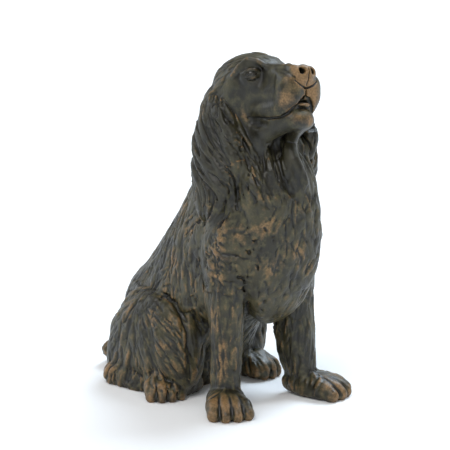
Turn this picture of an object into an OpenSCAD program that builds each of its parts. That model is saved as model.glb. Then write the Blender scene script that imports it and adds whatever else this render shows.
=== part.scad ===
// Sitting spaniel, a hollow hand-built ceramic statuette with a bronze-coloured finish.
// It is put together the way such a piece is made in the studio: a hollow torso and head, with legs,
// paws, ears, tail and facial features formed apart and luted on, and a slab that closes the underside.
// +Z is up, the dog faces -Y, its left is +X, and the ground is z = 0. Units are millimetres.

/* [Figure] */
// Height of the figure from the ground to the top of the skull
figure_h = 300; // [180:5:450]
// Turn of the head to the dog's left, in degrees
head_yaw = 9; // [0:1:14]
// Lift of the muzzle above level, in degrees
head_pitch = 15; // [8:1:18]
// Tilt of the head to the dog's left, in degrees
head_roll = 10; // [0:1:12]
// Drop of the ears below the middle of the skull
ear_drop = 106; // [90:1:110]
// Distance from the midline to the right wrist
stance = 42; // [38:1:44]
// Outward turn of the forepaws, in degrees
splay = 28; // [15:1:32]

/* [Clay] */
// Thickness of the hollow walls
wall = 7; // [5:0.5:9]
// Thickness of the slab that closes the underside
slab_t = 7; // [5:0.5:9]
// Diameter of the firing vent in the slab
vent_d = 12; // [8:1:16]
// Diameter of the duct in the neck, which vents the head
duct_d = 30; // [16:1:32]

/* [Smoothness] */
// Points around each large form
sides = 24; // [20:2:28]
// Rings between two neighbouring sections of a form
rings = 2; // [2:1:3]

/* [Hidden] */

patina = "#38352b";
copper = "#8a5c38";
dark = "#1d1b17";
biscuit = "#8f5f44";

drawn_h = 300;               // every section below is drawn for a figure this high
k = figure_h / drawn_h;
centre = [5.0, -42.4, 0];    // moves the middle of the figure's footprint box onto the origin
far = 400;                   // longer than the figure
drawn_wall = 7;              // the hollows are drawn for this wall
spare = drawn_wall - wall / k;

head_c = [-3, -4, 265.5];    // middle of the skull
eye_at = [22, -28, 8];       // in the head's own frame, for the dog's left side
eye_r = 6;
nose_at = [0, -66, 3];       // in the head's own frame
nostril_r = 2.6;
slab_r = 38;                 // the slab is a rounded strip this far each side of its own centre line
slab_y = [80, 96];           // where that centre line starts and ends
hind_paw_at = [[58, 46], [41, 47]];      // pastern of the right hind paw, then of the left one
RIGHT = -1;                  // the dog's right is -X
LEFT = 1;
SIDES = [RIGHT, LEFT];

// ---------- lofts ----------
// A section is [x, y, z, half size across, half size along the reference direction].
function unit(v) = v / norm(v);
function clamp_at(list, i) = list[max(0, min(len(list) - 1, i))];
// The smooth curve through b and c, with a before them and d after them.
function spline(a, b, c, d, t) =
    0.5 * (2 * b + (c - a) * t + (2 * a - 5 * b + 4 * c - d) * t * t + (3 * b - a - 3 * c + d) * t * t * t);
function smooth(keys, steps) = concat(
    [for (i = [0 : len(keys) - 2], j = [0 : steps - 1])
        spline(clamp_at(keys, i - 1), keys[i], keys[i + 1], clamp_at(keys, i + 2), j / steps)],
    [keys[len(keys) - 1]]);
function power(x, e) = sign(x) * pow(abs(x), 2 / e);
function place(s) = [s[0], s[1], s[2]];
function heading(s, i) = unit(place(clamp_at(s, i + 1)) - place(clamp_at(s, i - 1)));
function ring(s, i, ref, e, axis, n) =
    let (t = axis ? axis : heading(s, i), u = unit(cross(t, ref)), v = cross(u, t),
         ru = max(s[i][3], 0.4), rv = max(s[i][4], 0.4))
    [for (a = [0 : n - 1])
        place(s[i]) + u * ru * power(cos(360 * a / n), e) + v * rv * power(sin(360 * a / n), e)];

// A closed body through the given sections. e is 2 for an ellipse and more for a boxier section.
// The sections lie square to axis where it is given, and otherwise square to the path.
module loft(keys, ref = [0, -1, 0], e = 2, axis = undef, n = sides, steps = rings) {
    s = smooth(keys, steps);
    m = len(s);
    points = [for (i = [0 : m - 1]) each ring(s, i, ref, e, axis, n)];
    walls = [for (i = [0 : m - 2], a = [0 : n - 1]) let (b = (a + 1) % n)
        each [[i * n + a, i * n + b, (i + 1) * n + b], [i * n + a, (i + 1) * n + b, (i + 1) * n + a]]];
    caps = [[for (a = [n - 1 : -1 : 0]) a], [for (a = [0 : n - 1]) (m - 1) * n + a]];
    polyhedron(points, concat(caps, walls), convexity = 6);
}

// A level section given by its height, its front and back, and its half width.
function level(z, front, back, half_w) = [0, (front + back) / 2, z, half_w, (back - front) / 2];
// Sections of a hollow, wider where the wall is thinner than drawn.
function hollow(keys) = [for (q = keys) [q[0], q[1], q[2], q[3] + spare, q[4] + spare]];
// Sections drawn for the dog's left, moved to side s.
function to_side(keys, s) = [for (q = keys) [s * q[0], q[1], q[2], q[3], q[4]]];

// Brings a shape drawn around the paws to the origin and to the figure's size.
module figure() { scale(k) translate(centre) children(); }
module above(z) {
    intersection() {
        children();
        translate([-far / 2, -far / 2, z]) cube(far);
    }
}
module in_head() {
    translate(head_c) rotate([0, 0, head_yaw]) rotate([-head_pitch, 0, 0])
        rotate([0, head_roll, 0]) children();
}

// ---------- torso ----------
module torso_form() {
    above(0) loft([
        level(-14, 46, 130, 44), level(0, 40, 137, 50), level(20, 32, 143, 53), level(46, 18, 144, 53),
        level(66, 0, 142, 52), level(80, -28, 139, 52), level(104, -48, 112, 51), level(130, -56, 88, 50),
        level(154, -58, 66, 49), level(176, -56, 51, 44), level(193, -47, 42, 36), level(202, -32, 30, 22)],
        e = 2.2, axis = [0, 0, 1]);
}
module torso_cavity() {
    above(slab_t / k) loft(hollow([
        level(-1, 48, 128, 42), level(22, 40, 135, 45), level(46, 26, 136, 45), level(68, 8, 132, 43),
        level(84, -18, 124, 43), level(106, -39, 103, 43), level(132, -47, 79, 42), level(155, -49, 57, 41),
        level(174, -46, 42, 35), level(186, -34, 30, 24)]),
        e = 2.2, axis = [0, 0, 1], n = 18);
}
// The duct joins the hollow of the torso to the hollow of the head.
module duct() { translate([0, -4, 165]) cylinder(d = duct_d / k, h = 92, $fn = 48); }
module slab_outline() {
    for (y = slab_y) translate([0, y]) circle(r = slab_r, $fn = 72);
    translate([-slab_r, slab_y[0]]) square([2 * slab_r, slab_y[1] - slab_y[0]]);
}
module torso_shell() {
    color(patina) figure() difference() {
        torso_form();
        torso_cavity();
        duct();
        translate([0, 0, -1]) linear_extrude(slab_t / k + 10) slab_outline();
    }
}
module base_slab() {
    middle = (slab_y[0] + slab_y[1]) / 2;
    color(biscuit) figure() difference() {
        linear_extrude(slab_t / k) slab_outline();
        translate([0, middle, -1]) cylinder(d = vent_d / k, h = slab_t / k + 2, $fn = 48);
    }
}

// ---------- neck and chest ----------
module neck_form() {
    loft([level(180, -50, 40, 36), level(200, -52, 38, 35), level(220, -51, 32, 31),
          level(240, -44, 27, 28), level(256, -32, 22, 24), level(262, -22, 16, 17)],
         e = 2.1, axis = [0, 0, 1]);
}
module neck() {
    color(patina) figure() difference() {
        neck_form();
        torso_form();
        in_head() head_form();
        duct();
    }
}
module ruff_form() {
    loft([[0, -46, 226, 9, 5], [0, -53, 210, 19, 11], [0, -56, 190, 27, 13], [0, -57, 165, 31, 12],
          [0, -56, 136, 32, 12], [0, -48, 106, 30, 12], [0, -36, 86, 22, 11], [0, -29, 76, 9, 6]], e = 2.2);
}
module chest_ruff() {
    color(patina) figure() difference() {
        ruff_form();
        torso_form();
        neck_form();
        for (s = SIDES) foreleg_form(s);
    }
}

// ---------- head, drawn in its own frame with the muzzle towards -Y ----------
module skull_form() {
    loft([[0, 25, -5, 9, 10], [0, 20, -3, 20, 21], [0, 9, -1, 29, 29], [0, -3, 0, 32, 31],
          [0, -16, 0, 31.5, 30], [0, -28, -1.5, 26, 25.5], [0, -37, -5, 19, 18.5], [0, -41, -7, 10, 10]],
         ref = [0, 0, 1]);
}
module muzzle_form() {
    loft([[0, -12, -8, 18, 12], [0, -20, -6, 22, 18], [0, -34, -3, 21, 20], [0, -48, -4.5, 21.5, 18.5],
          [0, -60, -7.5, 23, 16.5], [0, -66, -9, 20.5, 13.5], [0, -69, -9.5, 12, 8]],
         ref = [0, 0, 1], e = 2.8);
}
module head_form() {
    skull_form();
    muzzle_form();
}
module head_cavity() {
    loft(hollow([[0, 17, -2, 8, 8], [0, 9, -1, 21, 21], [0, -2, 0, 24.5, 23.5], [0, -13, 0, 23, 22],
                 [0, -23, -1, 13, 13]]), ref = [0, 0, 1], n = 16);
}
module head_shell() {
    color(patina) figure() difference() {
        in_head() difference() {
            head_form();
            head_cavity();
            nose_form();
            jaw_form();
            for (s = SIDES) eye_form(s);
        }
        duct();
    }
}
module jaw_form() {
    loft([[0, 4, -26, 12, 7], [0, -6, -27, 20, 12], [0, -22, -28.5, 20, 12], [0, -40, -30.5, 18, 11],
          [0, -54, -32, 17, 9.5], [0, -62, -31.5, 14.5, 8], [0, -66, -31, 8, 4.5]],
         ref = [0, 0, 1], e = 2.3, n = 20);
}
module lower_jaw() {
    color(patina) figure() difference() {
        in_head() difference() {
            jaw_form();
            skull_form();
        }
        neck_form();
    }
}
module tongue() {
    color(copper) figure() in_head() difference() {
        loft([[0, -46, -22.5, 6, 2], [0, -52, -22.5, 9, 3], [0, -60, -22.8, 9, 3], [0, -66, -23, 5, 1.8]],
             ref = [0, 0, 1], n = 12);
        head_form();
        jaw_form();
    }
}
module nose_form() {
    translate(nose_at) difference() {
        loft([[0, 10, 1.5, 9, 5.5], [0, 4, 1, 11.5, 8.5], [0, -2, 0, 11.5, 9], [0, -5.5, -0.5, 8.5, 7],
              [0, -7, -1, 4, 4]], ref = [0, 0, 1], e = 2.4);
        for (s = SIDES) translate([s * 7.5, -6.5, 2]) sphere(r = nostril_r, $fn = 24);
    }
}
module nose() { color(copper) figure() in_head() nose_form(); }
module eye_form(s) { translate([s * eye_at[0], eye_at[1], eye_at[2]]) sphere(r = eye_r, $fn = 40); }
module eye(s) { color(dark) figure() in_head() eye_form(s); }
module brow(s) {
    color(patina) figure() in_head() difference() {
        loft(to_side([[13, -36, 10, 1.5, 1.5], [16, -35, 15, 3, 2.6], [21, -31, 17, 3.2, 2.8],
                      [26, -24, 15, 3, 2.6], [28, -18, 10, 1.5, 1.5]], s), ref = [0, 0, 1], n = 12);
        head_form();
        eye_form(s);
    }
}
module right_eye() { eye(RIGHT); }
module left_eye() { eye(LEFT); }
module right_brow() { brow(RIGHT); }
module left_brow() { brow(LEFT); }

// ---------- ears ----------
module ear_form(s) {
    top = head_c[2] + 6;
    tip = head_c[2] - ear_drop;
    loft(to_side([
        [25, 3, top, 3, 9], [30, 1, top - 7, 7, 14], [38, -4, top - 26, 10, 18],
        [43.5, -8, top - 50, 11, 21], [47, -12, top - 74, 11, 22], [48, -14, tip + 18, 10, 18],
        [48, -14, tip + 5, 7, 11], [48, -14, tip, 2, 4]], s));
}
module ear(s) {
    color(patina) figure() difference() {
        ear_form(s);
        in_head() {
            head_form();
            jaw_form();
        }
        neck_form();
        torso_form();
        foreleg_form(s);
    }
}
module right_ear() { ear(RIGHT); }
module left_ear() { ear(LEFT); }

// ---------- paws ----------
// A paw that points along -Y from its pastern at the origin: w is its half width and l its length.
module paw(w, l) {
    above(0) {
        loft([[0, 12, 8, 6, 5], [0, 8, 9, 12, 9], [0, -6, 9, w - 5, 13], [0, 12 - l, 7, w - 1, 12],
              [0, 5 - l, 6, w - 3, 8], [0, 2 - l, 5, w - 10, 4]], ref = [0, 0, 1], e = 2.3, n = 18);
        for (i = [-1.5 : 1 : 1.5]) toe(i * w * 0.45, (abs(i) > 1 ? 5 : 0) - l);
    }
}
// One toe whose tip is at x across and y along the paw.
module toe(x, y) {
    loft([[x * 0.9, y + 16, 13, 3, 3], [x * 0.95, y + 11, 12, 5, 6], [x, y + 4, 9, 5.6, 7.5],
          [x, y - 1, 6, 4.6, 6], [x, y - 3, 4.5, 2, 3]], ref = [0, 0, 1], n = 12, steps = 1);
}
module place_paw(s, at, turn) { translate([s * at[0], at[1], 0]) rotate([0, 0, s * turn]) children(); }

// ---------- forelegs: the right one is upright, the left one thicker and set a little ahead ----------
function wrist(s) = s == RIGHT ? [stance, -24] : [stance - 2, -27];
module foreleg_form(s) {
    w = wrist(s);
    x = w[0] - (s == RIGHT ? 3 : 2);
    y = s == RIGHT ? -23 : -17;
    t = s == RIGHT ? 0 : 2.5;
    loft(to_side([
        [28, -18, 178, 8, 10], [31, -22, 168, 17, 21], [33.5, -23, 146, 21, 27],
        [x - 1, y + 1, 118, 17 + t, 22], [x, y + 2, 96, 15.5 + t, 19 + t], [x, y, 74, 14.2 + t, 16 + t],
        [x, (w[1] + y) / 2, 48, 13.5 + t, 14.5 + t], [w[0] - 1, w[1], 26, 12.8 + t / 4, 13.5],
        [w[0] + 1, w[1] - 4, 10, 11, 11]], s));
}
module foreleg(s) {
    color(patina) figure() difference() {
        foreleg_form(s);
        torso_form();
        forepaw_form(s);
    }
}
module forepaw_form(s) { place_paw(s, wrist(s), splay) paw(21.5, 38); }
module right_foreleg() { foreleg(RIGHT); }
module left_foreleg() { foreleg(LEFT); }
module right_forepaw() { color(patina) figure() forepaw_form(RIGHT); }
module left_forepaw() { color(patina) figure() forepaw_form(LEFT); }

// ---------- hindquarters: the right thigh is brought further forward than the left ----------
// Sections of the thigh from front to back: share of its length, height, half width, half height.
thigh = [[0, 36, 7, 12], [0.04, 37, 14, 25], [0.15, 38, 21, 38], [0.35, 38, 25, 49],
         [0.6, 36, 26, 52], [0.8, 28, 25, 49], [0.93, 20, 20, 37], [1, 14, 9, 18]];
thigh_back = 118;
module haunch_form(s) {
    front = s == RIGHT ? 12 : 46;
    x = s == RIGHT ? 48 : 45;
    above(0) loft([for (q = thigh) [s * x, front + q[0] * (thigh_back - front), q[1], q[2], q[3]]],
                  ref = [0, 0, 1], axis = [0, 1, 0]);
}
module haunch(s) {
    color(patina) figure() difference() {
        haunch_form(s);
        torso_form();
        hind_paw_form(s);
    }
}
function pastern(s) = s == RIGHT ? hind_paw_at[0] : hind_paw_at[1];
// The hock lies along the ground behind the paw and runs outward.
module hock_form(s) {
    p = pastern(s);
    above(0) loft(to_side([
        [p[0] + 14, 102, 8, 6, 7], [p[0] + 13, 96, 8, 9, 11], [p[0] + 8, 78, 8, 10, 11],
        [p[0] + 1, 56, 8, 10, 11], [p[0], 44, 8, 8, 9]], s), ref = [0, 0, 1], e = 2.3, n = 16);
}
module hind_paw_form(s) {
    hock_form(s);
    place_paw(s, pastern(s), splay - 4) {
        if (s == RIGHT) paw(18, 28);
        else paw(16, 24);
    }
}
module right_haunch() { haunch(RIGHT); }
module left_haunch() { haunch(LEFT); }
module right_hind_paw() { color(patina) figure() hind_paw_form(RIGHT); }
module left_hind_paw() { color(patina) figure() hind_paw_form(LEFT); }

// ---------- tail, curled on the ground towards the dog's right ----------
module tail() {
    color(patina) figure() difference() {
        above(0) loft([
            [14, 128, 32, 10, 10], [16, 138, 22, 11, 12], [6, 148, 12, 11, 11], [-12, 152, 11, 10.5, 10.5],
            [-30, 149, 12, 10, 10], [-42, 143, 14, 8.5, 8.5], [-48, 139, 15, 3.5, 3.5]],
            ref = [0, 0, 1], n = 18);
        torso_form();
        for (s = SIDES) haunch_form(s);
    }
}

torso_shell();
base_slab();
neck();
chest_ruff();
head_shell();
lower_jaw();
tongue();
nose();
right_eye();
left_eye();
right_brow();
left_brow();
right_ear();
left_ear();
right_foreleg();
left_foreleg();
right_forepaw();
left_forepaw();
right_haunch();
left_haunch();
right_hind_paw();
left_hind_paw();
tail();
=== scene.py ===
"""The looks of the sitting spaniel: a hand-modelled ceramic figure with a bronze-coloured finish.

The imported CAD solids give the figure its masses. This script turns them into distance fields, melts them
into one clay body, models the coat, the paws and the face on it, and cuts it back into one piece for each
CAD solid but the eyes. Lengths inside the sculpt are millimetres in the row frame; the meshes are in metres.
"""

import math

import bpy
import numpy as np
import openvdb as vdb
from mathutils import Matrix, Vector

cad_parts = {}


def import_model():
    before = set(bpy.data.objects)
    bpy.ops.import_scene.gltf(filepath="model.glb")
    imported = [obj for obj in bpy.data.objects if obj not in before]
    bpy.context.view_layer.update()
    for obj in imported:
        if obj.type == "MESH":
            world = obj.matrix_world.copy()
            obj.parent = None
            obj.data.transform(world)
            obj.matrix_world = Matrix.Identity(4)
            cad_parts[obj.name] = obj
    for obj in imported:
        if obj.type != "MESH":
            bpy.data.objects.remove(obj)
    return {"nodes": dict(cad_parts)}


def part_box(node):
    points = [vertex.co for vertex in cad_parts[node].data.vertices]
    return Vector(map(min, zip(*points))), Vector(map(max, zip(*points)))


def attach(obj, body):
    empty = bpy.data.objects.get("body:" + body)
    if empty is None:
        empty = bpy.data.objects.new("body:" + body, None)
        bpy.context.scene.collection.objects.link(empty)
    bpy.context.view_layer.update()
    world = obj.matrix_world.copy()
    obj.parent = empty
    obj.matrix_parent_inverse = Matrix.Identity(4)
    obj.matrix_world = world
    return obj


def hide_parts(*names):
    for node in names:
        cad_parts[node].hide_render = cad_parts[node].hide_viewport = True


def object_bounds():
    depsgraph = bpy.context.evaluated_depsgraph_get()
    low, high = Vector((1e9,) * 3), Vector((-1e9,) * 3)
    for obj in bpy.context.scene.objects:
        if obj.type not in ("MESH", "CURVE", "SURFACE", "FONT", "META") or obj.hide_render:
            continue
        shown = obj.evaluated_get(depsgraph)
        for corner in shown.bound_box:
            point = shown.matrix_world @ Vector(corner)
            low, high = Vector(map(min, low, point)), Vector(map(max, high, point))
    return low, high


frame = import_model()
cad_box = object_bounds()

MM = 0.001  # metres in a millimetre
COARSE = 1.6  # spacing of the samples that hold the CAD solids
FINE = 0.8  # spacing of the samples that hold the modelled coat
FACE_FINE = 0.55  # and the face
SINK = 0.35  # how steeply a piece dives under its neighbour past their border
LAP = 2.4  # how far it goes on under it
CRUMB = 0.03  # a loose part with less of a piece's points than this is left out
REACH = 8  # how many coarse samples a distance is known for, on each side
GROW = 0.8  # the solids are grown this much so that they melt together
FILLET = 1.9  # the blur that rounds the corners between them
CORE = 3.0  # how far inside the clay the closed hollows are said to lie
TRIM = 0.6  # how much the body is thinned before the strokes build it up again
MARGIN = 9.0  # room round the CAD model for the samples
ROOM = 16.0  # room round a CAD solid for its piece
FACE_ROOM = 8.0  # room round the face's solids for its finer samples
VENT_RADIUS = 6.0  # the hole in the underside
VENT_FROM, VENT_TO = -8.0, 14.0  # heights of the centres of its two round ends
SEED = 7

RIGHT, LEFT = -1, 1
UP = np.array([0.0, 0.0, 1.0])


# ---------- sample boxes and distance fields ----------
class Grid:
    """A box of evenly spaced samples."""

    def __init__(self, lo, hi, step):
        self.step = step
        self.first = np.floor(np.array(lo) / step).astype(int)
        self.shape = tuple(np.ceil(np.array(hi) / step).astype(int) - self.first + 1)

    @property
    def lo(self):
        return self.first * self.step

    def window(self, lo, hi):
        """The slices of the samples between two corners, or None where there are none."""
        a = np.maximum(np.ceil(np.array(lo) / self.step).astype(int) - self.first, 0)
        b = np.minimum(np.floor(np.array(hi) / self.step).astype(int) - self.first + 1, self.shape)
        if (b <= a).any():
            return None
        return tuple(slice(int(i), int(j)) for i, j in zip(a, b))

    def part(self, window):
        """The grid of a window."""
        made = Grid.__new__(Grid)
        made.step = self.step
        made.first = self.first + np.array([w.start for w in window])
        made.shape = tuple(w.stop - w.start for w in window)
        return made

    def points(self, window):
        """The places of the samples of a window, as three arrays that broadcast."""
        axes = [(self.first[i] + np.arange(w.start, w.stop)) * self.step for i, w in enumerate(window)]
        return np.meshgrid(*[a.astype(np.float32) for a in axes], indexing="ij", sparse=True)


def node_arrays(name):
    """A CAD node's vertices in millimetres, and its triangles."""
    mesh = frame["nodes"][name].data
    points = np.empty(len(mesh.vertices) * 3, np.float32)
    mesh.vertices.foreach_get("co", points)
    mesh.calc_loop_triangles()
    triangles = np.empty(len(mesh.loop_triangles) * 3, np.int32)
    mesh.loop_triangles.foreach_get("vertices", triangles)
    return points.reshape(-1, 3) / MM, triangles.reshape(-1, 3)


def solid_distance(name, grid):
    """Distance to a CAD solid at each sample, negative inside it."""
    points, triangles = node_arrays(name)
    scale = vdb.createLinearTransform(voxelSize=grid.step)
    level = vdb.FloatGrid.createLevelSetFromPolygons(
        points, triangles=triangles, transform=scale, halfWidth=REACH)
    out = np.empty(grid.shape, np.float32)
    level.copyToArray(out, ijk=tuple(int(i) for i in grid.first))
    return out


def soften(field, step, width):
    """Gaussian blur of a field, with width as its standard deviation in millimetres."""
    sigma = width / step
    reach = int(math.ceil(3 * sigma))
    taps = np.exp(-0.5 * (np.arange(-reach, reach + 1) / sigma) ** 2)
    taps = (taps / taps.sum()).astype(np.float32)
    for axis in range(3):
        padded = np.pad(field, [(reach, reach) if i == axis else (0, 0) for i in range(3)], mode="edge")
        size = field.shape[axis]
        total = np.zeros_like(field)
        for i, tap in enumerate(taps):
            part = [slice(None)] * 3
            part[axis] = slice(i, i + size)
            total += tap * padded[tuple(part)]
        field = total
    return field


def sample(field, grid, points):
    """The field at any points, by trilinear interpolation."""
    at = (np.asarray(points, np.float64) - grid.lo) / grid.step
    at = np.clip(at, 0, np.array(grid.shape) - 1.001)
    base = np.floor(at).astype(int)
    part = at - base
    total = np.zeros(len(at))
    for step in np.ndindex(2, 2, 2):
        weight = np.abs(1 - np.array(step) - part).prod(1)
        x, y, z = (base + step).T
        total += weight * field[x, y, z]
    return total


def slope(field, grid, points):
    """The unit direction in which the field grows, which is the surface normal."""
    step = grid.step
    out = np.stack([sample(field, grid, points + step * e) - sample(field, grid, points - step * e)
                    for e in np.eye(3)], 1)
    return out / np.maximum(np.linalg.norm(out, axis=1, keepdims=True), 1e-9)


def resample(field, source, target):
    """The field of one grid at the samples of another, by a smooth cubic along each axis."""
    for axis in range(3):
        at = (target.first[axis] + np.arange(target.shape[axis])) * target.step
        at = at / source.step - source.first[axis]
        at = np.clip(at, 1, source.shape[axis] - 2.001)
        base = np.floor(at).astype(int)
        t = (at - base).astype(np.float32)
        weights = [(-t + 2 * t**2 - t**3) / 2, (2 - 5 * t**2 + 3 * t**3) / 2,
                   (t + 4 * t**2 - 3 * t**3) / 2, (-t**2 + t**3) / 2]
        wide = [1, 1, 1]
        wide[axis] = -1
        total = None
        for i, weight in enumerate(weights):
            piece = np.take(field, base + i - 1, axis=axis) * weight.reshape(wide)
            total = piece if total is None else total + piece
        field = total
    return field


def melt(a, b, k):
    """Union of two fields with a fillet about k wide."""
    overlap = np.maximum(1 - np.abs(a - b) / k, 0)
    return np.minimum(a, b) - overlap * overlap * (k / 4)


def cut(a, b, k):
    """a without b, with a soft edge about k wide."""
    return -melt(-a, b, k)


def polygons(field, grid):
    """The surface where the field is zero, as points and as quads that face outwards."""
    level = vdb.FloatGrid()
    level.background = float(REACH * grid.step)
    level.copyFromArray(np.ascontiguousarray(field), ijk=tuple(int(i) for i in grid.first), tolerance=0.0)
    level.transform = vdb.createLinearTransform(voxelSize=grid.step)
    level.gridClass = vdb.GridClass.LEVEL_SET
    points, quads = level.convertToQuads(isovalue=0.0)
    return points, quads[:, ::-1]


# ---------- shapes that are added to the clay or cut from it ----------
def stretches(x, y, z, path, radii):
    """For each stretch of a path, the samples' squared distance from it and the radius beside them."""
    for a, b, ra, rb in zip(path[:-1], path[1:], radii[:-1], radii[1:]):
        ab = b - a
        ax, ay, az = x - a[0], y - a[1], z - a[2]
        t = np.clip((ax * ab[0] + ay * ab[1] + az * ab[2]) / max(ab @ ab, 1e-9), 0, 1)
        away = (ax - t * ab[0]) ** 2 + (ay - t * ab[1]) ** 2 + (az - t * ab[2]) ** 2
        yield away, ra + t * (rb - ra)


def least(values):
    """The smallest of several arrays, sample by sample."""
    best = None
    for value in values:
        best = value if best is None else np.minimum(best, value)
    return best


def bar(field, grid, path, radii, k, remove=False, outline=0.0):
    """Adds a round bar to the clay, or removes it. An outline presses a line that deep round it."""
    path = np.asarray(path, float)
    radii = np.broadcast_to(np.asarray(radii, float), len(path))
    room = radii.max() + max(k, 2 * outline)
    window = grid.window(path.min(0) - room, path.max(0) + room)
    if window is None:
        return
    d = least(np.sqrt(away) - radius for away, radius in stretches(*grid.points(window), path, radii))
    if outline:
        field[window] += outline * np.exp(-(d / outline) ** 2)
    field[window] = cut(field[window], d, k) if remove else melt(field[window], d, k)


def press(layer, grid, path, widths, height):
    """Lays a low flat-topped stroke on a layer of relief, or a groove where the height is below 0."""
    room = widths.max()
    window = grid.window(path.min(0) - room, path.max(0) + room)
    if window is None:
        return
    d = least(away / width ** 2 for away, width in stretches(*grid.points(window), path, widths))
    stroke = height * np.maximum(1 - d * d, 0)
    keep = np.maximum if height > 0 else np.minimum
    layer[window] = keep(layer[window], stroke)


def lump(field, grid, centre, radii, axes, k, remove=False):
    """Adds an ellipsoid to the clay, or removes it. The rows of axes are its own axes."""
    centre, radii, axes = np.asarray(centre, float), np.asarray(radii, float), np.asarray(axes, float)
    room = np.abs(axes.T @ np.diag(radii)).sum(1) + k
    window = grid.window(centre - room, centre + room)
    if window is None:
        return
    x, y, z = grid.points(window)
    local = [((x - centre[0]) * a[0] + (y - centre[1]) * a[1] + (z - centre[2]) * a[2]) / r
             for a, r in zip(axes, radii)]
    near = np.sqrt(sum(u * u for u in local)) + 1e-6
    steep = np.sqrt(sum((u / r) ** 2 for u, r in zip(local, radii))) + 1e-6
    d = near * (near - 1) / steep
    field[window] = cut(field[window], d, k) if remove else melt(field[window], d, k)


# ---------- the clay body ----------
NODES = sorted(frame["nodes"])
LOOSE = ("right_eye", "left_eye")     # set into the clay, not melted into it
MELTED = [n for n in NODES if n not in LOOSE]

BOXES = {n: np.array([list(v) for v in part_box(n)]) / MM for n in NODES}

lowest = np.array(cad_box[0]) / MM - MARGIN
highest = np.array(cad_box[1]) / MM + MARGIN
coarse = Grid(lowest, highest, COARSE)
draw = np.random.default_rng(SEED)


def corner(name, which):
    return BOXES[name][which]


def middle(name):
    return (corner(name, 0) + corner(name, 1)) / 2


def within(name, fractions):
    """Places given as fractions of a CAD solid's box."""
    return corner(name, 0) + np.asarray(fractions, float) * (corner(name, 1) - corner(name, 0))


def mirrored(points):
    """Places reflected in the figure's middle plane."""
    return (np.asarray(points) - middle("base_slab")) * [-1, 1, 1] + middle("base_slab")


def enclosed(solid):
    """Samples with clay on both sides of them along every axis: the hollows inside."""
    shut = ~solid
    for axis in range(3):
        before = np.logical_or.accumulate(solid, axis)
        after = np.flip(np.logical_or.accumulate(np.flip(solid, axis), axis), axis)
        shut &= before & after
    return shut


def clay_body():
    """The melted CAD solids, and for each solid the field that parts it from its neighbours."""
    solids = {n: solid_distance(n, coarse) for n in MELTED}
    stack = np.stack([solids[n] for n in MELTED])
    owner = stack.argmin(0)
    ordered = np.partition(stack, 1, axis=0)
    nearest, second = ordered[0], ordered[1]
    remote = nearest >= REACH * COARSE - .01          # too far from every solid to tell: the torso has these
    borders = {}
    for i, n in enumerate(MELTED):
        other = np.where(owner == i, second, nearest)
        borders[n] = np.where(remote, -LAP if n == "torso_shell" else 2 * LAP, (solids[n] - other) / 2)
    solid = nearest < 0
    solid[:, :, :1 - coarse.first[2]] = True          # the ground shuts the hollow from below
    nearest = np.where(enclosed(solid), -CORE, nearest)
    body = soften(nearest - GROW, COARSE, FILLET) + GROW
    return body, borders, owner


body, borders, owner = clay_body()


def unit(v):
    return v / np.linalg.norm(v)


class HeadFrame:
    """The head's own frame: x to the dog's left, y backwards and z up, with its origin in the skull."""

    eye = np.array([22.0, -28.0, 8.0])
    nose_drop = math.radians(6.5)     # how far the middle of the nose lies below the line ahead of the eyes

    def __init__(self):
        right, left, tip = middle("right_eye"), middle("left_eye"), middle("nose")
        between = (right + left) / 2
        self.x = unit(left - right)
        forward = tip - between
        forward = unit(forward - self.x * (forward @ self.x))
        square = np.cross(forward, self.x)
        lifted = forward * math.cos(self.nose_drop) + square * math.sin(self.nose_drop)
        self.y = -unit(lifted)
        self.z = np.cross(self.x, self.y)
        self.origin = between - self.y * self.eye[1] - self.z * self.eye[2]
        self.axes = np.stack([self.x, self.y, self.z])

    def at(self, points, side=1):
        """Points of the head's frame, given for the dog's left, in the row frame and on the given side."""
        return self.origin + (np.asarray(points, float) * [side, 1, 1]) @ self.axes

    def tilted(self, side, yaw, roll=0.0):
        """The axes of a lump that is turned in the head's frame, as rows."""
        turn = Matrix.Rotation(math.radians(yaw * side), 3, "Z")
        turn = turn @ Matrix.Rotation(math.radians(roll * side), 3, "Y")
        return np.array(turn).T @ self.axes


head = HeadFrame()


def ahead(field, grid, places, side=1, inward=0.0):
    """Points on the front of the face, given as (x, z) of the head's frame."""
    depth = np.arange(-90, -40, .4)
    found = []
    for x, z in places:
        inside = sample(field, grid, head.at([(x, y, z) for y in depth], side)) < 0
        found.append((x, depth[inside.argmax()] + inward, z))
    return head.at(found, side)


def flank(field, grid, places, side, inward=0.0):
    """Points on the side of the face, given as (y, z) of the head's frame."""
    width = np.arange(45, 5, -.4)
    found = []
    for y, z in places:
        inside = sample(field, grid, head.at([(x, y, z) for x in width], side)) < 0
        found.append((width[inside.argmax()] - inward, y, z))
    return head.at(found, side)


def brow(field, grid, side):
    """The ridge over the eye, running down into the upper edge of the muzzle. The left one sits lower."""
    lower = 0 if side == RIGHT else 2.5
    ridge = [(9, -43, 12), (15, -38.5, 14), (19, -33, 18.5 - lower), (24, -27, 20 - lower), (28, -20, 15),
             (30, -14, 9)]
    bar(field, grid, head.at(ridge, side), [1.8, 2.2, 2.8, 3.0, 2.5, 1.4], 3)
    edge = [(14, -40, 12.5), (11, -50, 11.5), (9.5, -60, 10.5)]
    bar(field, grid, head.at(edge, side), [2.2, 2.6, 2.6], 4)


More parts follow.
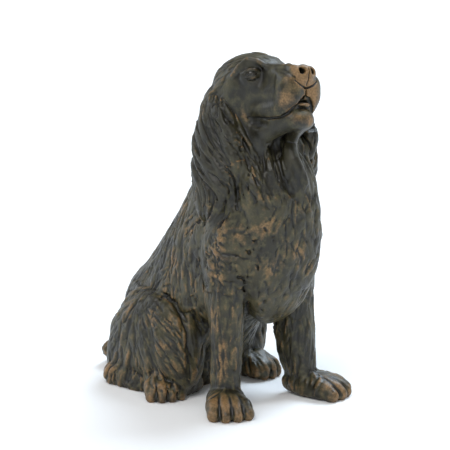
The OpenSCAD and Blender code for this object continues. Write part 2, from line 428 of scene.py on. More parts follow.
def socket(field, grid, side):
    """The hollow that the eye is set in, and its lids."""
    lump(field, grid, head.at((24.5, -34.5, 8.5), side), (6.8, 6, 6), head.tilted(side, 25), 3, True)
    lump(field, grid, head.at((23, -43, 3), side), (4.5, 8, 7), head.tilted(side, 8), 6, True)
    out = unit(np.array([.64, -.75, .05]))            # where the eye looks, in the head's frame
    level = unit(np.cross(UP, out))
    up = np.cross(out, level)

    def arc(radius, top, turns):
        """A curve round the eye, whose middle lies in the direction of top from it."""
        return head.at([head.eye + radius * (level * math.sin(t) + top * math.cos(t)) for t in turns], side)

    bar(field, grid, arc(6.7, up, np.linspace(0, 2 * math.pi, 17)), 2.6, 3.0)
    turns = np.radians(np.linspace(-78, 78, 9))
    for lift, thick in ((.62, 1.7), (-.58, 1.4)):
        lid = arc(6.1, unit(out + up * lift), turns)
        bar(field, grid, lid, thick * np.array([.6, .8, .95, 1, 1, 1, .95, .8, .6]), 2.0)
    bar(field, grid, arc(9.4, unit(out * .75 + up), turns * .8), 1.0, 2.0, True)


def muzzle(field, grid, side):
    """The lip pads at the front, and the lip that hangs over the jaw back to the corner of the mouth."""
    lump(field, grid, head.at((9.8, -59.5, -8), side), (11.5, 9.5, 11), head.tilted(side, 10, 18), 3)
    lip = [(11.5, -61, -15.5), (14, -56, -20), (15, -50, -22.5), (15.2, -42, -23), (15.8, -31, -21.5),
           (16.5, -22, -19)]
    bar(field, grid, head.at(lip, side), [6.2, 6.4, 6.3, 6.2, 5.6, 4.5], 6)
    valley = [(24, -50, 3), (25, -49, -7), (24.5, -47, -13)]
    bar(field, grid, head.at(valley, side), [2.5, 3.4, 2.2], 5, True)
    fold = [(26.5, -19, -9), (24.5, -17, -17), (21.5, -16.5, -25), (18.5, -19, -32), (15.6, -22, -38)]
    bar(field, grid, head.at(fold, side), [1.0, 1.7, 2.0, 1.8, 1.0], 2.5)


def mouth(field, grid, side):
    """The line between the lips, from under the nose to the corner, and the dark fold below it."""
    front = ahead(field, grid, [(0, -14), (4, -16.2), (10.4, -22.6)], side, .6)
    back = flank(field, grid, [(-59, -28), (-53.5, -30.2), (-43, -30), (-31, -28), (-20, -26.4)], side, .6)
    bar(field, grid, np.vstack([front, back]), [1.3, 1.7, 1.5, 1.2, 1.1, 1.0, 1.0, .8], 1.0, True)
    under = flank(field, grid, [(-24, -30.0), (-30, -32.4), (-38, -34.6)], side, -1.2)
    bar(field, grid, under, [1.8, 3.4, 1.8], 4, True)


def mouth_opening(field, grid):
    """The mouth, a little open at the front, with the tongue in it."""
    lump(field, grid, head.at((0, -68, -20)), (8.6, 9, 4.6), head.axes, 1.5, True)
    lump(field, grid, head.at((0, -61.5, -20.9)), (7.4, 6.4, 2.0), head.axes, 1.0)


def chin(field, grid):
    lump(field, grid, head.at((0, -59.5, -33)), (11, 8, 7.5), head.axes, 4)


def nose(field, grid):
    """The nose pad with its wings and nostrils, and the groove below it."""
    lump(field, grid, head.at((0, -66, 3)), (7.5, 6.2, 9.2), head.axes, 2)
    for side in (RIGHT, LEFT):
        lump(field, grid, head.at((8.6, -63.8, 5.2), side), (5.4, 6.6, 6.8), head.axes, 2)
        hole = [(6.0, -77, 7.4), (5.8, -70, 6.4), (5.0, -62, 5.0)]
        bar(field, grid, head.at(hole, side), [3.5, 3.1, 2.4], .8, True)
        slit = [(6.6, -72.5, 5.0), (9.6, -71.5, 2.6), (12.6, -68.5, 1.2)]
        bar(field, grid, head.at(slit, side), [1.5, 1.2, .7], .8, True)
        under = ahead(field, grid, [(12.5, -2), (8, -5.2), (3.5, -7.0), (0, -7.8)], side, .4)
        bar(field, grid, under, [.6, .9, 1.0, 1.0], .8, True)
    groove = ahead(field, grid, [(0, -7.8), (0, -11), (0, -14.5)], 1, .5)
    bar(field, grid, groove, [1.1, 1.4, 1.9], .8, True)
    crest = ahead(field, grid, [(0, 8), (0, 2), (0, -5)], 1, .2)
    bar(field, grid, crest, [.6, .9, 1.0], .8, True)


def face(field, grid):
    for side in (RIGHT, LEFT):
        brow(field, grid, side)
        muzzle(field, grid, side)
    chin(field, grid)
    for side in (RIGHT, LEFT):
        mouth(field, grid, side)
        socket(field, grid, side)
    nose(field, grid)
    mouth_opening(field, grid)


# ---------- big forms that the CAD solids leave plain ----------
# places in the neck's box: a narrow ridge, the deep hollow beside it and the wide fold beyond
THROAT_RIDGE = [(.29, .10, .62), (.29, .07, .51), (.26, 0, .41), (.22, -.08, .29), (.24, -.13, .14)]
THROAT_HOLLOW = [(.50, .02, .67), (.38, .01, .55), (.31, -.06, .43), (.29, -.12, .30), (.34, -.17, .18),
                 (.42, -.18, .04)]
THROAT_FOLD = [(.51, -.16, .78), (.57, -.06, .70), (.60, .03, .60), (.55, -.03, .50), (.53, -.09, .40),
               (.56, -.13, .27), (.62, -.16, .13), (.68, -.14, 0)]
FAR_SHOULDER_CUT = 38.5                # the radius of the cut that draws the left shoulder in


def throat(field, grid):
    """Fills the step between the neck and the ruff, and folds the skin that hangs from the jaw."""
    fill = within("neck", [(.22, .24, .60), (.16, .16, .42), (.14, .08, .22), (.12, .03, .02)])
    bar(field, grid, fill, [7, 8, 9, 9], 12)
    bar(field, grid, mirrored(fill), [5, 5, 5, 5], 10)
    bar(field, grid, within("neck", THROAT_HOLLOW), [5, 7, 8, 7.6, 6.2, 3.5], 3, True)
    bar(field, grid, within("neck", THROAT_RIDGE) + [0, 1.5, 0], [2.2, 3.0, 3.2, 2.8, 2], 3)
    bar(field, grid, within("neck", THROAT_FOLD), [4.5, 5.5, 6, 6, 6, 6, 5, 3], 3)


def jowl(field, grid, side):
    """Fills the pocket behind the jaw, under the cheek, and rounds the jaw into the neck."""
    bar(field, grid, head.at([(21, -8, -12), (18, -8, -25), (13, -12, -38)], side), [8.5, 10, 10], 8)
    below = [(8.5, -55, -33.5), (11, -44, -36), (12, -30, -40), (10, -18, -48)]
    bar(field, grid, head.at(below, side), [5, 7.5, 10, 10], 8)


def far_shoulder(field, grid):
    """Draws the left shoulder in, where the ruff narrows above the leg."""
    beside = [(1.26, -.35, 1.15), (1.37, -.28, 1.06), (1.48, -.21, .96), (1.81, -.03, .85), (2.03, .14, .74),
              (2.06, .26, .62), (2.15, .34, .48), (2.25, .33, .36)]
    bar(field, grid, within("left_foreleg", beside), FAR_SHOULDER_CUT, 8, True)


def near_shoulder(field, grid):
    """Runs the upper right foreleg and the ruff into one form."""
    seam = within("chest_ruff", [(.06, .50, .78), (.04, .48, .58), (.06, .50, .38), (.12, .56, .22)])
    bar(field, grid, seam, [7, 8.5, 8, 5], 14)
    pocket = within("chest_ruff", [(.02, 1.0, .82), (.01, .88, .76), (-.04, .80, .69)])
    bar(field, grid, pocket, [8, 9, 8], 8)


def ear_front(field, grid, side):
    """The front edge of the ear, which swells forward half way down. The left one mirrors the right one."""
    edge = within("right_ear", [(.62, .26, .80), (.58, .02, .66), (.53, -.02, .50), (.42, .08, .34)])
    bar(field, grid, edge if side == RIGHT else mirrored(edge), [1, 6, 7, 5], 10)


def thigh_crease(field, grid, side):
    """The deep line where the thigh meets the belly."""
    edge = ((.36, 1.0), (.18, .90), (.03, .68), (-.02, .45), (-.02, .2))
    name = "right_haunch" if side == RIGHT else "left_haunch"
    path = within(name, [(.5 + .02 * side, y, z) for y, z in edge])
    bar(field, grid, path, [1.5, 2.4, 3.0, 2.6, 1.6], 4, True)


def big_forms(field, grid):
    for side in (RIGHT, LEFT):
        jowl(field, grid, side)
    near_shoulder(field, grid)
    for side in (RIGHT, LEFT):
        ear_front(field, grid, side)
    far_shoulder(field, grid)
    throat(field, grid)
    for side in (RIGHT, LEFT):
        thigh_crease(field, grid, side)


big_forms(body, coarse)


# ---------- the coat ----------
skin_points = polygons(body, coarse)[0]
nearest_sample = np.rint((skin_points - coarse.lo) / COARSE).astype(int)
skin_owner = owner[tuple(np.clip(nearest_sample, 0, np.array(coarse.shape) - 1).T)]

coat = []         # each layer of strokes: press or bar, and what it is given for every stroke
STEPS = 7
RISE = np.array([.18, .6, .9, 1.0, .95, .8, .55, .2])       # how a stroke swells and fades along its length
LOCK_SINK, LOCK_FILLET, LOCK_OUTLINE = .62, 1.2, .7         # how round locks lie in the clay


def seeds(names, spacing):
    """Starting places on the skin of some solids, about a spacing apart."""
    own = skin_points[np.isin(skin_owner, [MELTED.index(n) for n in names])]
    own = own[draw.permutation(len(own))]
    cells = np.floor(own / spacing + draw.random(3)).astype(int)
    return own[np.unique(cells, axis=0, return_index=True)[1]]


def across(vectors, out):
    """Vectors laid into the skin whose outward directions are given, one unit long."""
    flat = vectors - out * (vectors * out).sum(1, keepdims=True)
    return flat / np.maximum(np.linalg.norm(flat, axis=1, keepdims=True), 1e-6)


def comb(names, flow, where, length, radius, cover, lean, height=None):
    """Strokes that follow a flow over the skin: low ones of the given height, or round locks without one."""
    place = seeds(names, math.sqrt(length * 2 * radius / cover))
    place = place[where(place)]
    count = len(place)
    turn = np.radians(draw.normal(0, lean, count))[:, None]
    sway = np.radians(draw.normal(0, lean * .8, count))[:, None]
    stride = (draw.uniform(.6, 1.3, count) * length / STEPS)[:, None]
    thick = draw.uniform(.72, 1.28, count)[:, None] * radius * RISE
    path, outward = [], []
    for i in range(STEPS + 1):
        out = slope(body, coarse, place)
        path.append(place)
        outward.append(out)
        way = across(flow(place), out)
        angle = turn + sway * math.sin(i * .8)
        way = way * np.cos(angle) + np.cross(out, way) * np.sin(angle)
        place = place + way * stride
        place = place - slope(body, coarse, place) * sample(body, coarse, place)[:, None]
    path, outward = np.stack(path, 1), np.stack(outward, 1)
    if height is None:
        path = path - outward * (thick * LOCK_SINK)[:, :, None]
        order = draw.permutation(count)
        coat.append((bar, [(path[i], thick[i], LOCK_FILLET, False, LOCK_OUTLINE) for i in order]))
    else:
        rise = height * draw.uniform(.5, 1.4, count)
        order = draw.permutation(count)
        coat.append((press, [(path[i], thick[i], rise[i]) for i in order]))


def comb_layers(names, flow, where, *layers):
    """Layers of low strokes over one place, each with its length, radius, cover, lean and height."""
    for layer in layers:
        comb(names, flow, where, *layer)


def ear_flow(name):
    """Locks that fall forward down the upper ear, and turn back to its tip."""
    low, high = corner(name, 0), corner(name, 1)

    def flow(p):
        down = (high[2] - p[:, 2]) / (high[2] - low[2])
        swing = np.interp(down, [0, .15, .35, .55, .66, .76, .88, 1], [5, 30, 48, 56, 50, 5, -30, -45])
        swing = np.radians(swing)
        return np.stack([0 * down, -np.sin(swing), -np.cos(swing)], 1)
    return flow


def trunk_flow(p):
    """Down and back along the spine, straight down the flank, and forward behind the elbow."""
    low, high = corner("torso_shell", 0), corner("torso_shell", 1)
    rear = (p[:, 1] - low[1]) / (high[1] - low[1])
    low_down = np.clip((high[2] * .55 - p[:, 2]) / (high[2] * .4), 0, 1)
    lean = np.interp(rear, [0, .25, .45, .7, 1], [-.25, -.1, .25, .7, 1.1]) - low_down * .45 * (rear < .75)
    return np.stack([0 * lean, lean, -np.ones_like(lean)], 1)


def haunch_flow(name):
    """Strokes that fan out from the hip."""
    hip = within(name, (.5, .55, .86))

    def flow(p):
        spread = p - hip
        spread[:, 0] = 0
        return spread / 30 + [0, .1, -.35]
    return flow


def down_flow(lean=0.0):
    return lambda p: np.tile([0.0, lean, -1.0], (len(p), 1))


def wave_flow(p):
    """Across the upper right leg on to the ruff, sagging and then rising."""
    forward = (within("right_foreleg", (0, .5, 0))[1] - p[:, 1]) / 26
    rise = np.interp(forward, [0, .5, 1], [-.45, -.1, .3])
    return np.stack([np.full(len(p), .75), np.full(len(p), -.65), rise], 1)


def by_the_shoulder(p):
    """Where the upper right leg meets the ruff, and the strokes run across."""
    return np.linalg.norm((p - within("right_foreleg", (.12, .30, .74))) * [1, 1, .75], axis=1) < 17


def neck_flow(p):
    """Down the neck, forward on the throat and backward at the nape."""
    front = within("neck", (.5, 0, .5))[1]
    depth = corner("neck", 1)[1] - front
    lean = np.interp((p[:, 1] - front) / depth, [0, .3, 1], [-.35, -.1, .45])
    return np.stack([0 * lean, lean, -np.ones_like(lean)], 1)


def skull_flow(p):
    """Back over the skull and down the cheeks."""
    local = (p - head.origin) @ head.axes.T
    fall = np.interp(local[:, 2], [-25, 0, 25], [-.9, -.5, -.1])
    back = np.stack([local[:, 0] * .012, np.ones_like(fall), fall], 1)
    return back @ head.axes


def off_the_face(p):
    """Only behind the eyes and over the brows."""
    local = (p - head.origin) @ head.axes.T
    return (local[:, 1] > -12) | ((local[:, 2] > 19) & (local[:, 1] > -42))


def clear_of_jaw(p):
    """Not on the smooth skin just under the jaw."""
    local = (p - head.origin) @ head.axes.T
    return (local[:, 2] < -44) | (local[:, 1] > -6)


def tail_flow(p):
    """Along the tail, out from the rump."""
    return np.tile([-1.0, .15, -.1], (len(p), 1))


def anywhere(p):
    return np.ones(len(p), bool)


def comb_coat():
    """All the strokes. The broad ones of a place come before its fine ones, and places overlap a little."""
    breast = within("torso_shell", (0, .26, 0))[1]
    throat_back = within("neck", (0, .35, 0))[1]
    elbow_height, ruff_height, nape_height = 120, 187, 204

    def behind(p):
        return p[:, 1] > breast - 6

    def nape(p):
        return (np.abs(p[:, 2] - nape_height) < 15) & (p[:, 1] > throat_back)

    def ruff(p):
        return (p[:, 1] < breast + 6) & (p[:, 2] < ruff_height + 3)

    def throat_skin(p):
        return p[:, 2] > ruff_height - 3

    comb_layers(("torso_shell",), trunk_flow, behind,
                (42, 5.5, 2.8, 10, 1.1), (26, 2.6, 1.2, 14, .8), (26, 1.5, .9, 12, -.8))
    comb_layers(("neck", "torso_shell"), trunk_flow, nape, (46, 5.0, 2.4, 9, 1.1))
    for name in ("chest_ruff", "torso_shell"):
        comb_layers((name,), down_flow(-.1), ruff,
                    (34, 7.5, 3.0, 22, 1.2), (24, 4.4, 1.8, 28, .9),
                    (26, 2.2, .9, 24, .8), (28, 1.5, .8, 22, -.7))
    for name in ("right_foreleg", "left_foreleg"):
        comb_layers((name,), down_flow(-.05), lambda p: p[:, 2] > elbow_height - 2,
                    (24, 6.5, 1.6, 50, 1.2), (17, 3.6, 1.2, 60, 1.1), (22, 1.5, .7, 40, -.8))
        comb_layers((name,), down_flow(), lambda p: p[:, 2] < elbow_height + 2,
                    (30, 4.5, 1.2, 8, .8), (24, 2.0, .8, 8, .5), (24, 1.4, .7, 8, -.6))
    comb_layers(("chest_ruff", "right_foreleg", "torso_shell"), wave_flow, by_the_shoulder,
                (30, 2.6, 1.6, 9, 1.2), (30, 1.5, 1.0, 9, -.8))
    for name in ("right_haunch", "left_haunch"):
        comb_layers((name,), haunch_flow(name), anywhere,
                    (36, 5.0, 2.6, 12, 1.2), (24, 2.4, 1.2, 15, .9), (26, 1.4, 1.0, 12, -.8))
    for name in ("right_hind_paw", "left_hind_paw"):
        heel = within(name, (0, .42, 0))[1]
        comb_layers((name,), down_flow(.5), lambda p: p[:, 1] > heel,
                    (22, 3.4, 1.4, 18, 1.4), (18, 1.5, .9, 18, -.8))
    for name in ("right_ear", "left_ear"):
        comb((name,), ear_flow(name), anywhere, 50, 4.4, 1.5, 6)
        comb_layers((name,), ear_flow(name), anywhere, (36, 2.4, 1.4, 7, 1.0), (34, 1.4, 1.6, 6, -1.0))
    comb_layers(("chest_ruff",), neck_flow, throat_skin, (36, 4.0, 1.0, 8, .5), (30, 1.4, .7, 8, -.5))
    comb_layers(("neck",), neck_flow, clear_of_jaw,
                (44, 4.6, 1.2, 7, .8), (30, 2.2, .9, 8, .7), (30, 1.4, .9, 8, -.8))
    comb_layers(("head_shell",), skull_flow, off_the_face, (26, 4.6, 1.2, 9, .9), (20, 1.4, .8, 9, -.6))
    comb_layers(("tail",), tail_flow, anywhere, (26, 3.2, 1.6, 8, 1.2), (22, 1.4, .9, 8, -.8))


# ---------- paws ----------
class PawFrame:
    """A paw's own frame, found from its CAD solid: ahead to the toes, and aside across them."""

    def __init__(self, name, turn):
        angle = math.radians(turn)
        self.ahead = np.array([math.sin(angle), -math.cos(angle), 0])
        self.aside = np.array([math.cos(angle), math.sin(angle), 0])
        points = node_arrays(name)[0]
        along, over = points @ self.ahead, points @ self.aside
        self.tip = along.max()
        toes = over[along > self.tip - 16]
        self.half = (toes.max() - toes.min()) / 2
        self.centre = (toes.max() + toes.min()) / 2
        self.axes = np.stack([self.aside, -self.ahead, UP])

    def at(self, places):
        """Places given as (fraction of the half width, distance behind the tip, height)."""
        return np.array([self.aside * (self.centre + x * self.half) + self.ahead * (self.tip - back) + UP * z
                         for x, back, z in places])


def paw(field, grid, name, turn, size, groove):
    """Four toes with knuckles, parted by deep lines."""
    at = PawFrame(name, turn)
    for x, setback in ((-.72, 7.5), (-.25, 3.5), (.25, 3.5), (.72, 7.5)):
        width = at.half * .27
        toe, knuckle = at.at([(x, setback + 2, 5 * size), (x * .94, setback + 9 * size, 9 * size)])
        lump(field, grid, toe, (width, 6.5 * size, 6.2 * size), at.axes, 1.6)
        lump(field, grid, knuckle, (width * .95, 6.5 * size, 6.6 * size), at.axes, 1.6)
    for x, setback in ((-.49, 3), (0, 0), (.49, 3)):
        line = at.at([(x * 1.05, setback - 2, 0), (x * 1.02, setback, 7 * size),
                      (x, setback + 7, 14.5 * size), (x * .85, setback + 16, 18.5 * size),
                      (x * .7, setback + 24, 21 * size)])
        bar(field, grid, line[:len(groove)], groove, 1.2, True)
        bar(field, grid, line[:len(groove)] + (at.ahead + UP) * 1.2, np.array(groove) * .85, 1.2, True)


FORE_SPLAY, HIND_SPLAY = 28, 24        # how far the paws turn outwards, in degrees
HIND_SIZE = .85                        # the hind toes against the fore ones
# radii of the lines between the toes, from the tip backwards
FORE_GROOVE, HIND_GROOVE = (1.4, 1.5, 1.4, 1.1, .6), (1.1, 1.0, .3)


def paws(field, grid):
    for side, word in ((RIGHT, "right"), (LEFT, "left")):
        paw(field, grid, word + "_forepaw", side * FORE_SPLAY, 1.0, FORE_GROOVE)
        paw(field, grid, word + "_hind_paw", side * HIND_SPLAY, HIND_SIZE, HIND_GROOVE)


# ---------- pieces ----------
def make_object(name, points, quads):
    """A smooth-shaded object made of quads."""
    mesh = bpy.data.meshes.new(name)
    mesh.vertices.add(len(points))
    mesh.vertices.foreach_set("co", np.ascontiguousarray(points, np.float32).ravel())
    mesh.loops.add(quads.size)
    mesh.loops.foreach_set("vertex_index", np.ascontiguousarray(quads, np.int32).ravel())
    mesh.polygons.add(len(quads))
    mesh.polygons.foreach_set("loop_start", np.arange(0, quads.size, 4, dtype=np.int32))
    mesh.polygons.foreach_set("use_smooth", np.ones(len(quads), bool))
    mesh.update(calc_edges=True)
    obj = bpy.data.objects.new(name, mesh)
    bpy.context.scene.collection.objects.link(obj)
    return obj


def piece_of(name, field, grid):
    """One node's share of the clay, closed, and lapping a little under its neighbours."""
    window = grid.window(corner(name, 0) - ROOM, corner(name, 1) + ROOM)
    part = grid.part(window)
    border = resample(borders[name], coarse, part)
    share = np.maximum(field[window] + SINK * np.maximum(border, 0), border - LAP)
    for axis in range(3):
        edge = np.moveaxis(share, axis, 0)
        edge[[0, -1]] = np.maximum(edge[[0, -1]], 1)          # nothing reaches the window's own sides
    return whole_parts(*polygons(share, part))


def whole_parts(points, quads):
    """The surface without the crumbs that come off where a border cuts a stroke."""
    label = np.arange(len(points))
    while True:
        before = label.copy()
        np.minimum.at(label, quads.ravel(), np.repeat(label[quads].min(1), 4))
        label = label[label]
        if (label == before).all():
            break
    sizes = np.bincount(label, minlength=len(points))
    kept = sizes[label] > CRUMB * len(points)
    number = np.cumsum(kept) - 1
    return points[kept], number[quads[kept[quads[:, 0]]]]


RUB_REACH = 2.8       # the rubbed ridges are those that stand out from a surface smoothed this much, in mm


def rub_of(points, quads, normals, step):
    """How far each point stands out from the smoothed surface, in millimetres: above 0 on ridges."""
    a, b = quads.ravel(), np.roll(quads, 1, 1).ravel()
    start, end = np.concatenate([a, b]), np.concatenate([b, a])
    count = np.maximum(np.bincount(start, minlength=len(points)), 1)
    smooth = points.astype(np.float64)
    for _ in range(max(2, int((RUB_REACH / step) ** 2))):
        smooth = np.stack([np.bincount(start, smooth[end, i], len(points)) / count for i in range(3)], 1)
    return ((points - smooth) * normals).sum(1)


# node, place in its box, reach in mm and strength: above 0 where handling wears the patina back to copper,
# below 0 where the dark finish is whole and is painted darker as shade (eyes, ears, jaw, neck)
WEAR_AND_SHADE = (
    ("right_eye", (.5, .5, .5), 13, -1.1), ("left_eye", (.5, .5, .5), 13, -1.1),
    ("right_ear", (.3, .4, .72), 26, -.75), ("right_ear", (.3, .4, .35), 26, -.6),
    ("left_ear", (.7, .3, .5), 34, -.5), ("lower_jaw", (.4, .3, .25), 13, -.6),
    ("neck", (.3, .1, .6), 26, -.5), ("neck", (.5, -.1, .3), 22, -.5),
    ("right_foreleg", (.16, .39, .26), 7, .8), ("right_foreleg", (.16, .40, .17), 7, .9),
    ("right_foreleg", (.15, .39, .10), 6, .6), ("right_foreleg", (.05, .54, .43), 6, .7),
    ("right_foreleg", (.07, .53, .34), 6, .6), ("right_haunch", (.14, .32, .76), 6, .8),
    ("right_hind_paw", (.13, .92, .67), 7, .8), ("right_forepaw", (.20, .33, .73), 7, .7),
    ("right_forepaw", (.29, .16, .67), 6, .7), ("right_hind_paw", (.18, .11, .60), 6, .5),
    ("right_foreleg", (.18, .32, .87), 10, .5), ("right_foreleg", (.45, .09, .85), 7, .7),
    ("chest_ruff", (.03, .19, .57), 8, .7), ("right_foreleg", (.04, .41, .75), 8, .6),
    ("right_foreleg", (.02, .48, .63), 8, .6), ("chest_ruff", (.15, .13, .36), 9, .6),
    ("chest_ruff", (.56, .04, .40), 8, .4), ("torso_shell", (.04, .47, .59), 8, .6),
    ("right_haunch", (.13, .62, .78), 8, .5), ("right_haunch", (.13, .15, .55), 6, .4),
    ("left_forepaw", (.45, .08, .52), 8, .6), ("left_forepaw", (.37, .37, .91), 6, .4),
    ("lower_jaw", (.04, .81, .56), 7, .8), ("head_shell", (.12, .49, .25), 7, .8),
    ("head_shell", (.29, .04, .50), 9, .9), ("head_shell", (.73, .03, .56), 9, .9),
    ("head_shell", (.45, .04, .82), 8, .6), ("nose", (.5, .2, .5), 11, .9),
    ("right_forepaw", (.4, .3, .6), 18, .35), ("left_forepaw", (.5, .3, .6), 18, .3),
    ("lower_jaw", (.72, .03, .62), 6, .9), ("lower_jaw", (.45, .06, .70), 6, .7),
    ("right_hind_paw", (.3, .15, .6), 14, .3), ("left_hind_paw", (.6, .15, .6), 14, .2),
)


def wear_and_shade_of(points):
    """How much handling wears each point down to copper (above 0), and where the patina stays whole and is
    painted darker as shade (below 0).
    """
    total = np.zeros(len(points))
    for name, fractions, reach, strength in WEAR_AND_SHADE:
        away = ((points - within(name, fractions)) ** 2).sum(1)
        total += strength * np.exp(-away / (reach * reach))
    return total


class Nodes:
    """Short ways to add and join shader nodes."""

    def __init__(self, name):
        self.made = bpy.data.materials.new(name)
        self.made.use_nodes = True
        self.tree = self.made.node_tree
        self.shader = self.tree.nodes["Principled BSDF"]
        self.place = self.tree.nodes.new("ShaderNodeTexCoord").outputs["Object"]

    def put(self, socket, value):
        if isinstance(value, bpy.types.NodeSocket):
            self.tree.links.new(value, socket)
        else:
            socket.default_value = value

    def noise(self, scale, detail=2.0, stretch=(1, 1, 1), roughness=.5):
        mapping = self.tree.nodes.new("ShaderNodeMapping")
        self.put(mapping.inputs["Vector"], self.place)
        mapping.inputs["Scale"].default_value = stretch
        node = self.tree.nodes.new("ShaderNodeTexNoise")
        self.put(node.inputs["Vector"], mapping.outputs["Vector"])
        node.inputs["Scale"].default_value = scale
        node.inputs["Detail"].default_value = detail
        node.inputs["Roughness"].default_value = roughness
        return node.outputs["Fac"]

    def math(self, operation, a, b=0.0, c=0.0):
        node = self.tree.nodes.new("ShaderNodeMath")
        node.operation = operation
        for socket, value in zip(node.inputs, (a, b, c)):
            self.put(socket, value)
        return node.outputs[0]

    def ramp(self, value, low, high, to_low=0.0, to_high=1.0):
        node = self.tree.nodes.new("ShaderNodeMapRange")
        node.interpolation_type = "SMOOTHSTEP"
        for name, given in (("Value", value), ("From Min", low), ("From Max", high), ("To Min", to_low),
                            ("To Max", to_high)):
            self.put(node.inputs[name], given)
        return node.outputs["Result"]

    def mix(self, factor, a, b):
        node = self.tree.nodes.new("ShaderNodeMix")
        node.data_type = "RGBA"
        self.put(node.inputs[0], factor)
        self.put(node.inputs[6], a)
        self.put(node.inputs[7], b)
        return node.outputs[2]

    def attribute(self, name):
        node = self.tree.nodes.new("ShaderNodeAttribute")
        node.attribute_name = name
        return node.outputs["Fac"]

    def bump(self, height, distance, strength):
        node = self.tree.nodes.new("ShaderNodeBump")
        self.put(node.inputs["Height"], height)
        node.inputs["Distance"].default_value = distance
        node.inputs["Strength"].default_value = strength
        self.put(self.shader.inputs["Normal"], node.outputs["Normal"])


def patina(name, extra_wear):
    """Dark olive-brown patina, nearly black in the hollows and rubbed back to copper on the ridges, with
    painted shade darkening it round the eyes and on the ears, jaw and throat.
    """
    n = Nodes(name)
    rub, wear_and_shade = n.attribute("rub"), n.attribute("wear_and_shade")
    patches, mottle, specks = n.noise(38, 4, roughness=.6), n.noise(150, 4, roughness=.6), n.noise(620, 2)
    ground = n.mix(n.ramp(patches, .36, .62), (.013, .011, .005, 1), (.036, .031, .012, 1))
    ground = n.mix(n.ramp(mottle, .44, .68, 0, .75), ground, (.068, .060, .026, 1))
    ground = n.mix(n.ramp(rub, .05, -.35, 0, .85), ground, (.0035, .003, .0025, 1))
    # painted shade: below 0 the wear value darkens the ground towards near-black at the eyes, ears, jaw and
    # throat
    ground = n.mix(n.ramp(wear_and_shade, -.05, -.55, 0, .55), ground, (.006, .005, .003, 1))
    wear = n.math("ADD", n.math("MULTIPLY", rub, 1.5), n.math("MULTIPLY_ADD", mottle, 1.1, -.55))
    wear = n.math("ADD", wear, n.math("MULTIPLY_ADD", patches, 1.7, -.90))
    wear = n.math("ADD", wear, n.math("MULTIPLY_ADD", wear_and_shade, .95, extra_wear))
    wear = n.math("ADD", wear, n.math("MULTIPLY_ADD", specks, .4, -.2))
    bare = n.math("MULTIPLY", n.ramp(wear, .20, 1.25), n.ramp(rub, -.45, -.08))
    copper = n.mix(n.ramp(specks, .35, .65), (.145, .083, .032, 1), (.230, .131, .053, 1))
    n.put(n.shader.inputs["Base Color"], n.mix(bare, ground, copper))
    n.shader.inputs["Specular IOR Level"].default_value = .4
    gloss = n.math("ADD", n.ramp(mottle, .3, .7, .34, .50), n.math("MULTIPLY", bare, .08))
    n.put(n.shader.inputs["Roughness"], gloss)
    brushed = n.math("MULTIPLY", n.noise(900, 2, (1, 1, .22)), .7)
    n.bump(n.math("MULTIPLY_ADD", specks, .5, brushed), .0006, .45)
    return n.made


def eye_finish():
    """The same dark patina, kept smooth and glossier on the eyeballs."""
    n = Nodes("eye_gloss")
    shade = n.ramp(n.noise(420, 3), .35, .65)
    n.put(n.shader.inputs["Base Color"], n.mix(shade, (.007, .006, .004, 1), (.022, .018, .010, 1)))
    n.put(n.shader.inputs["Roughness"], n.ramp(n.noise(260, 2), .3, .7, .20, .36))
    n.bump(n.noise(700, 2), .0004, .25)
    return n.made


def bare_clay():
    """Unglazed fired clay on the underside."""
    n = Nodes("fired_clay")
    grains, patches = n.noise(1500, 3), n.noise(60, 3)
    tone = n.mix(n.ramp(patches, .3, .7), (.27, .125, .075, 1), (.36, .19, .12, 1))
    n.put(n.shader.inputs["Base Color"], n.mix(n.ramp(grains, .55, .75), tone, (.50, .33, .23, 1)))
    n.put(n.shader.inputs["Roughness"], n.ramp(patches, .3, .7, .78, .92))
    n.bump(grains, .0006, .5)
    return n.made


FACE = ("head_shell", "lower_jaw", "tongue", "nose", "right_brow", "left_brow")


def sculpt(grid):
    """The finished surface as a field on a grid."""
    field = resample(body, coarse, grid)
    field += TRIM
    for shape, strokes in coat:
        layer = np.zeros_like(field) if shape is press else field
        for stroke in strokes:
            shape(layer, grid, *stroke)
        if shape is press:
            field -= layer
    paws(field, grid)
    face(field, grid)
    vent = middle("base_slab") * [1, 1, 0]
    bar(field, grid, [vent + UP * VENT_FROM, vent + UP * VENT_TO], VENT_RADIUS, .6, True)
    z = grid.points(tuple(slice(0, n) for n in grid.shape))[2]
    return np.maximum(field, -z)


def finish_of(name):
    """The record's material slot for a piece."""
    if name in ("nose", "tongue"):
        return "copper_rub"
    return "bare_clay" if name == "base_slab" else "bronze_finish"


def add_piece(name, field, grid, finishes):
    """Makes a node's clay piece, with the measures that its patina is driven by, and puts it in its place."""
    points, quads = piece_of(name, field, grid)
    obj = make_object(name + "_clay", points * MM, quads)
    normals = np.empty(len(points) * 3, np.float32)
    obj.data.vertices.foreach_get("normal", normals)
    rub = rub_of(points, quads, normals.reshape(-1, 3), grid.step)
    for label, values in (("rub", rub), ("wear_and_shade", wear_and_shade_of(points))):
        attribute = obj.data.attributes.new(label, "FLOAT", "POINT")
        attribute.data.foreach_set("value", values.astype(np.float32))
    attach(obj, "root")
    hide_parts(name)
    obj.data.materials.append(finishes[finish_of(name)])


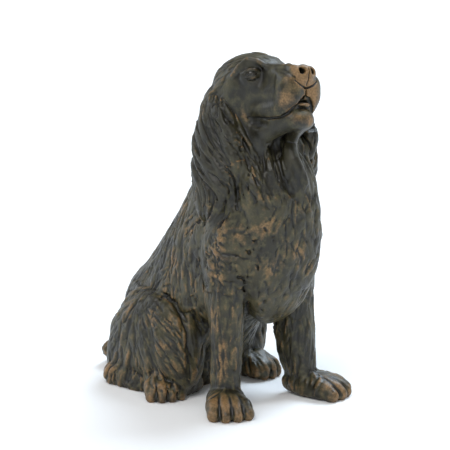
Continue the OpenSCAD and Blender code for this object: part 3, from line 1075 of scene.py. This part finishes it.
def build():
    finishes = {"bronze_finish": patina("bronze_patina", 0.0), "copper_rub": patina("rubbed_copper", .12),
                "bare_clay": bare_clay()}
    glossy = eye_finish()
    for name in LOOSE:
        for slot in frame["nodes"][name].material_slots:
            slot.material = glossy
    comb_coat()
    grid = Grid(lowest, highest, FINE)
    field = sculpt(grid)
    face_lowest = np.min([corner(n, 0) for n in FACE], 0) - FACE_ROOM
    face_highest = np.max([corner(n, 1) for n in FACE], 0) + FACE_ROOM
    face_grid = Grid(face_lowest, face_highest, FACE_FINE)
    face_field = sculpt(face_grid)
    for name in MELTED:
        if name in FACE:
            add_piece(name, face_field, face_grid, finishes)
        else:
            add_piece(name, field, grid, finishes)


build()


# ---------- the stage ----------
def aim(obj, target):
    obj.rotation_mode = "QUATERNION"
    obj.rotation_quaternion = (target - obj.location).to_track_quat("-Z", "Y")


def towards(azimuth, elevation):
    """The direction of a view from the dog's front, turned round it and raised by degrees."""
    a, e = math.radians(azimuth), math.radians(elevation)
    return Vector((math.sin(a) * math.cos(e), -math.cos(a) * math.cos(e), math.sin(e)))


CAMERA_TARGET = Vector((0.01588, 0.00162, 0.13936))
CAMERA_DISTANCE = 2.2
LENS, SENSOR = 203.5, 36


def camera():
    """The photographed view: from the dog's right front, a little above it."""
    data = bpy.data.cameras.new("camera")
    data.lens = LENS
    data.sensor_width = SENSOR
    data.clip_start = 0.05
    data.clip_end = 50
    cam = bpy.data.objects.new("camera", data)
    cam.location = CAMERA_TARGET + towards(-37.4, 13.0) * CAMERA_DISTANCE
    aim(cam, CAMERA_TARGET)
    bpy.context.scene.collection.objects.link(cam)
    bpy.context.scene.camera = cam


def add_lamp(data, place, target):
    lamp = bpy.data.objects.new(data.name, data)
    lamp.location = place
    aim(lamp, target)
    bpy.context.scene.collection.objects.link(lamp)


def sun(name, azimuth, elevation, strength, spread, colour=(1, 1, 1)):
    """A soft far light, which lights the whole floor evenly."""
    data = bpy.data.lights.new(name, "SUN")
    data.energy = strength
    data.angle = math.radians(spread)
    data.color = colour
    add_lamp(data, towards(azimuth, elevation) * 3, Vector((0, 0, 0)))


def front_light():
    """A weak near light that fills the face and the chest."""
    data = bpy.data.lights.new("front", "AREA")
    data.shape = "DISK"
    data.size = 1.0
    data.energy = 2.5
    add_lamp(data, Vector((-0.6, -1.6, 1.2)), Vector((0, 0, 0.15)))


def lights():
    sun("key", -62, 54, 1.4, 30)
    sun("sky", 102, 52, 3.0, 36, (.74, .87, 1.0))
    sun("rim", -150, 30, .7, 30, (.86, .93, 1.0))
    front_light()


WORLD_STRENGTH = 0.36


def world():
    made = bpy.data.worlds.new("white")
    bpy.context.scene.world = made
    made.use_nodes = True
    shade = made.node_tree.nodes["Background"]
    shade.inputs["Color"].default_value = (1, 1, 1, 1)
    shade.inputs["Strength"].default_value = WORLD_STRENGTH


# (radius, height) of each ring of the floor, in metres
FLOOR_PROFILE = ((3.0, 0.0), (4.5, 0.0), (5.5, 0.08), (6.3, 0.32), (6.9, 0.75), (7.2, 1.3), (7.3, 1.9))
FLOOR_SIDES = 64


def floor():
    """A wide pale floor that curves up far away on every side."""
    points, faces = [], []
    for radius, height in FLOOR_PROFILE:
        for i in range(FLOOR_SIDES):
            angle = 2 * math.pi * i / FLOOR_SIDES
            points.append((radius * math.cos(angle), radius * math.sin(angle), height))
    faces.append(list(range(FLOOR_SIDES)))
    for ring in range(len(FLOOR_PROFILE) - 1):
        for i in range(FLOOR_SIDES):
            a, b = ring * FLOOR_SIDES + i, ring * FLOOR_SIDES + (i + 1) % FLOOR_SIDES
            faces.append([a, b, b + FLOOR_SIDES, a + FLOOR_SIDES])
    mesh = bpy.data.meshes.new("floor")
    mesh.from_pydata(points, [], faces)
    mesh.polygons.foreach_set("use_smooth", [len(face) == 4 for face in faces])
    obj = bpy.data.objects.new("floor", mesh)
    bpy.context.scene.collection.objects.link(obj)
    made = bpy.data.materials.new("floor")
    made.use_nodes = True
    shade = made.node_tree.nodes["Principled BSDF"]
    shade.inputs["Base Color"].default_value = (0.9, 0.9, 0.9, 1)
    shade.inputs["Roughness"].default_value = 0.8
    mesh.materials.append(made)


camera()
lights()
world()
floor()
bpy.context.scene.view_settings.view_transform = "Standard"
